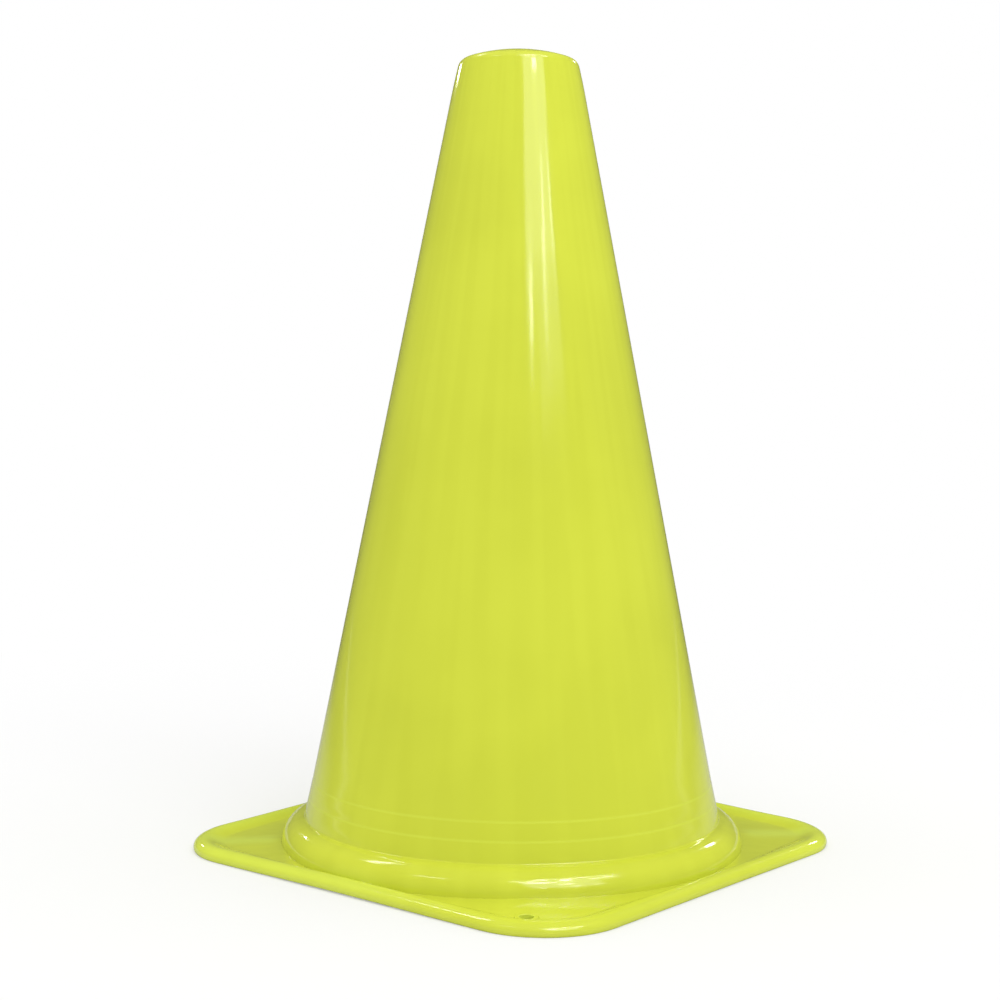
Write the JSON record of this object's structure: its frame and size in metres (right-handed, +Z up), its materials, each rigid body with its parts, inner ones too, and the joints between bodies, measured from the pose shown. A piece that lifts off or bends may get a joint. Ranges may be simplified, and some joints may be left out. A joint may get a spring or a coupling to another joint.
{
  "type": "sports marker cone",
  "caption": "Hollow glossy plastic marker cone with a domed closed top, a rounded collar and a square base with a rolled rim and a corner eyelet, for marking out pitches and drills.",
  "frame": {"origin": "middle of the square base, on the floor that the rim stands on", "axes": "+Z up along the cone's axis; the four straight sides of the base face +X, -X, +Y and -Y; the corner with the eyelet lies at +X -Y"},
  "size_m": [0.193, 0.193, 0.305],
  "materials": {
    "plastic": "glossy fluorescent yellow-green, coloured through, faintly wavy from moulding"
  },
  "bodies": {
    "root": {"cone_body": "plastic"}
  },
  "joints": []
}
